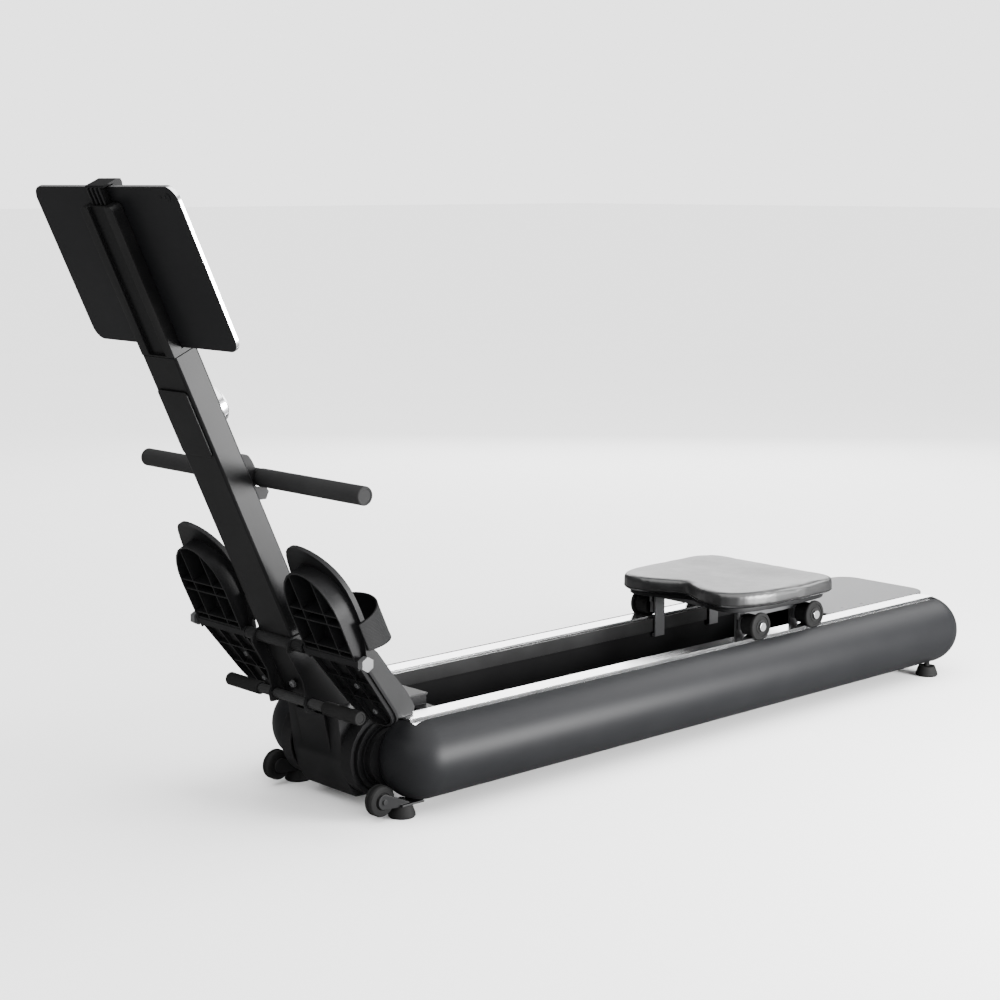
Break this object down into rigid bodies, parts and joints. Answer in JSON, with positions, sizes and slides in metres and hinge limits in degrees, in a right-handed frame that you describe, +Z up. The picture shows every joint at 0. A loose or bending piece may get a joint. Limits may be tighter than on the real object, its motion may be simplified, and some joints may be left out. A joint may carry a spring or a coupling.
{
  "type": "rowing machine",
  "caption": "Low rowing machine: seat on rollers between two capsule-shaped side casings, leaning mast with handle, tablet clamp and dial, tilting pedals with foot straps.",
  "frame": {"origin": "centre of the overall box, on the floor", "axes": "+Z up, +Y along the rails from the mast towards the rear cover, +X towards the left hand of a rower who faces the mast"},
  "size_m": [0.522, 1.7533, 0.9229],
  "materials": {
    "casing_paint": "satin charcoal paint on a pressed shell",
    "black_plastic": "fine grained black moulding",
    "black_steel": "satin black powder coat",
    "grey_steel": "satin dark grey powder coat",
    "polished_rail": "polished running track",
    "rubber_black": "moulded black rubber",
    "grip_foam": "closed cell foam sleeve",
    "pad_skin": "smooth black upholstery skin over foam",
    "cover_grey": "satin mid grey panel",
    "webbing_black": "woven black webbing",
    "tablet_back": "dark satin back with a bright rim",
    "dial_metal": "bright turned knob",
    "cast_flywheel": "turned cast iron",
    "bright_steel": "ground steel"
  },
  "bodies": {
    "base": {"casing_left": "casing_paint", "casing_right": "casing_paint", "frame_beam_left": "black_steel", "frame_beam_right": "black_steel", "rail_left": "polished_rail", "rail_right": "polished_rail", "channel_tray": "black_plastic", "rear_cover": "cover_grey", "cross_member_rear": "black_steel", "cross_member_front": "black_steel", "front_housing": "black_plastic", "hub_cover_left": "black_plastic", "hub_cover_right": "black_plastic", "flywheel_shaft": "bright_steel", "recoil_spring_case": "black_plastic", "mast_tube": "grey_steel", "mast_head": "black_plastic", "mast_front_cover": "black_plastic", "mast_bracket_left": "black_steel", "mast_bracket_right": "black_steel", "pedal_axle": "black_steel", "stand_bar": "black_steel", "stand_bar_grip_left": "rubber_black", "stand_bar_grip_right": "rubber_black", "heel_bracket_left": "grey_steel", "heel_bracket_right": "grey_steel", "handle_cradle": "grey_steel", "strap_run": "webbing_black", "wheel_fork_left": "grey_steel", "wheel_fork_right": "grey_steel"},
    "seat": {"seat_pad": "pad_skin", "seat_shell": "black_plastic", "seat_carriage": "black_steel"},
    "seat_roller_front_left": {"seat_roller_front_left": "rubber_black"},
    "seat_roller_front_right": {"seat_roller_front_right": "rubber_black"},
    "seat_roller_rear_left": {"seat_roller_rear_left": "rubber_black"},
    "seat_roller_rear_right": {"seat_roller_rear_right": "rubber_black"},
    "pedal_left": {"pedal_left": "black_plastic", "foot_strap_left": "webbing_black"},
    "pedal_right": {"pedal_right": "black_plastic", "foot_strap_right": "webbing_black"},
    "handle": {"handle_bar": "black_steel", "handle_grip_left": "grip_foam", "handle_grip_right": "grip_foam", "pull_strap": "webbing_black"},
    "strap_pulley": {"strap_pulley": "black_plastic"},
    "strap_drum": {"strap_drum": "black_plastic"},
    "flywheel": {"flywheel": "cast_flywheel", "flywheel_bearing_inner": "bright_steel", "flywheel_bearing_outer": "bright_steel"},
    "magnet_bracket": {"magnet_bracket": "grey_steel"},
    "resistance_dial": {"resistance_dial": "dial_metal"},
    "tablet_clamp": {"tablet_clamp": "black_plastic"},
    "tablet": {"tablet": "tablet_back"},
    "transport_wheel_left": {"transport_wheel_left": "rubber_black"},
    "transport_wheel_right": {"transport_wheel_right": "rubber_black"},
    "front_foot_left": {"front_foot_left": "rubber_black"},
    "front_foot_right": {"front_foot_right": "rubber_black"},
    "rear_foot_left": {"rear_foot_left": "rubber_black"},
    "rear_foot_right": {"rear_foot_right": "rubber_black"}
  },
  "joints": [
    {"name": "seat_slide", "type": "slide", "parent": "base", "child": "seat", "axis": [0, 1, 0], "range_m": [-0.6, 0.04]},
    {"name": "seat_roller_front_left_spin", "type": "hinge", "parent": "seat", "child": "seat_roller_front_left", "pos_m": [0.128, 0.3319, 0.1638], "axis": [1, 0, 0], "continuous": true},
    {"name": "seat_roller_front_right_spin", "type": "hinge", "parent": "seat", "child": "seat_roller_front_right", "pos_m": [-0.128, 0.3319, 0.1638], "axis": [1, 0, 0], "continuous": true},
    {"name": "seat_roller_rear_left_spin", "type": "hinge", "parent": "seat", "child": "seat_roller_rear_left", "pos_m": [0.128, 0.4774, 0.1638], "axis": [1, 0, 0], "continuous": true},
    {"name": "seat_roller_rear_right_spin", "type": "hinge", "parent": "seat", "child": "seat_roller_rear_right", "pos_m": [-0.128, 0.4774, 0.1638], "axis": [1, 0, 0], "continuous": true},
    {"name": "pedal_left_tilt", "type": "hinge", "parent": "base", "child": "pedal_left", "pos_m": [0.1335, -0.5811, 0.2605], "axis": [1, 0, 0], "range_deg": [-8, 0]},
    {"name": "pedal_right_tilt", "type": "hinge", "parent": "base", "child": "pedal_right", "pos_m": [-0.1335, -0.5811, 0.2605], "axis": [1, 0, 0], "range_deg": [-8, 0]},
    {"name": "handle_pull", "type": "slide", "parent": "base", "child": "handle", "axis": [0, 1, 0], "range_m": [0, 1], "stiffness_N_per_m": 20, "springref_m": -1},
    {"name": "strap_pulley_spin", "type": "hinge", "parent": "base", "child": "strap_pulley", "pos_m": [0, -0.66525, 0.49245], "axis": [1, 0, 0], "continuous": true},
    {"name": "strap_drum_spin", "type": "hinge", "parent": "base", "child": "strap_drum", "pos_m": [0, -0.4511, 0.086], "axis": [1, 0, 0], "continuous": true},
    {"name": "flywheel_spin", "type": "hinge", "parent": "base", "child": "flywheel", "pos_m": [0, -0.4511, 0.086], "axis": [1, 0, 0], "continuous": true},
    {"name": "resistance_dial_turn", "type": "hinge", "parent": "base", "child": "resistance_dial", "pos_m": [0, -0.69603, 0.60697], "axis": [0, 0.9081, 0.4188], "range_deg": [0, 270]},
    {"name": "magnet_bracket_swing", "type": "hinge", "parent": "base", "child": "magnet_bracket", "pos_m": [0.034, -0.4266, 0.1386], "axis": [1, 0, 0], "range_deg": [0, 6]},
    {"name": "tablet_clamp_slide", "type": "slide", "parent": "base", "child": "tablet_clamp", "axis": [0, -0.4188, 0.9081], "range_m": [0, 0.04], "stiffness_N_per_m": 500, "springref_m": -0.02},
    {"name": "tablet_slide", "type": "slide", "parent": "base", "child": "tablet", "axis": [1, 0, 0], "range_m": [-0.04, 0.04]},
    {"name": "transport_wheel_left_spin", "type": "hinge", "parent": "base", "child": "transport_wheel_left", "pos_m": [0.124, -0.4936, 0.0315], "axis": [1, 0, 0], "continuous": true},
    {"name": "transport_wheel_right_spin", "type": "hinge", "parent": "base", "child": "transport_wheel_right", "pos_m": [-0.124, -0.4936, 0.0315], "axis": [1, 0, 0], "continuous": true},
    {"name": "front_foot_left_screw", "type": "hinge", "parent": "base", "child": "front_foot_left", "pos_m": [0.125, -0.4531, 0], "axis": [0, 0, 1], "continuous": true},
    {"name": "front_foot_right_screw", "type": "hinge", "parent": "base", "child": "front_foot_right", "pos_m": [-0.125, -0.4531, 0], "axis": [0, 0, 1], "continuous": true},
    {"name": "rear_foot_left_screw", "type": "hinge", "parent": "base", "child": "rear_foot_left", "pos_m": [0.146, 0.8089, 0], "axis": [0, 0, 1], "continuous": true},
    {"name": "rear_foot_right_screw", "type": "hinge", "parent": "base", "child": "rear_foot_right", "pos_m": [-0.146, 0.8089, 0], "axis": [0, 0, 1], "continuous": true}
  ],
  "couplings": [
    {"joint": "seat_roller_front_left_spin", "follows": "seat_slide", "rad_per_m": -54.054},
    {"joint": "seat_roller_front_right_spin", "follows": "seat_slide", "rad_per_m": -54.054},
    {"joint": "seat_roller_rear_left_spin", "follows": "seat_slide", "rad_per_m": -54.054},
    {"joint": "seat_roller_rear_right_spin", "follows": "seat_slide", "rad_per_m": -54.054},
    {"joint": "strap_pulley_spin", "follows": "handle_pull", "rad_per_m": -71.4},
    {"joint": "strap_drum_spin", "follows": "handle_pull", "rad_per_m": -40},
    {"joint": "magnet_bracket_swing", "follows": "resistance_dial_turn", "ratio": 0.02222}
  ]
}
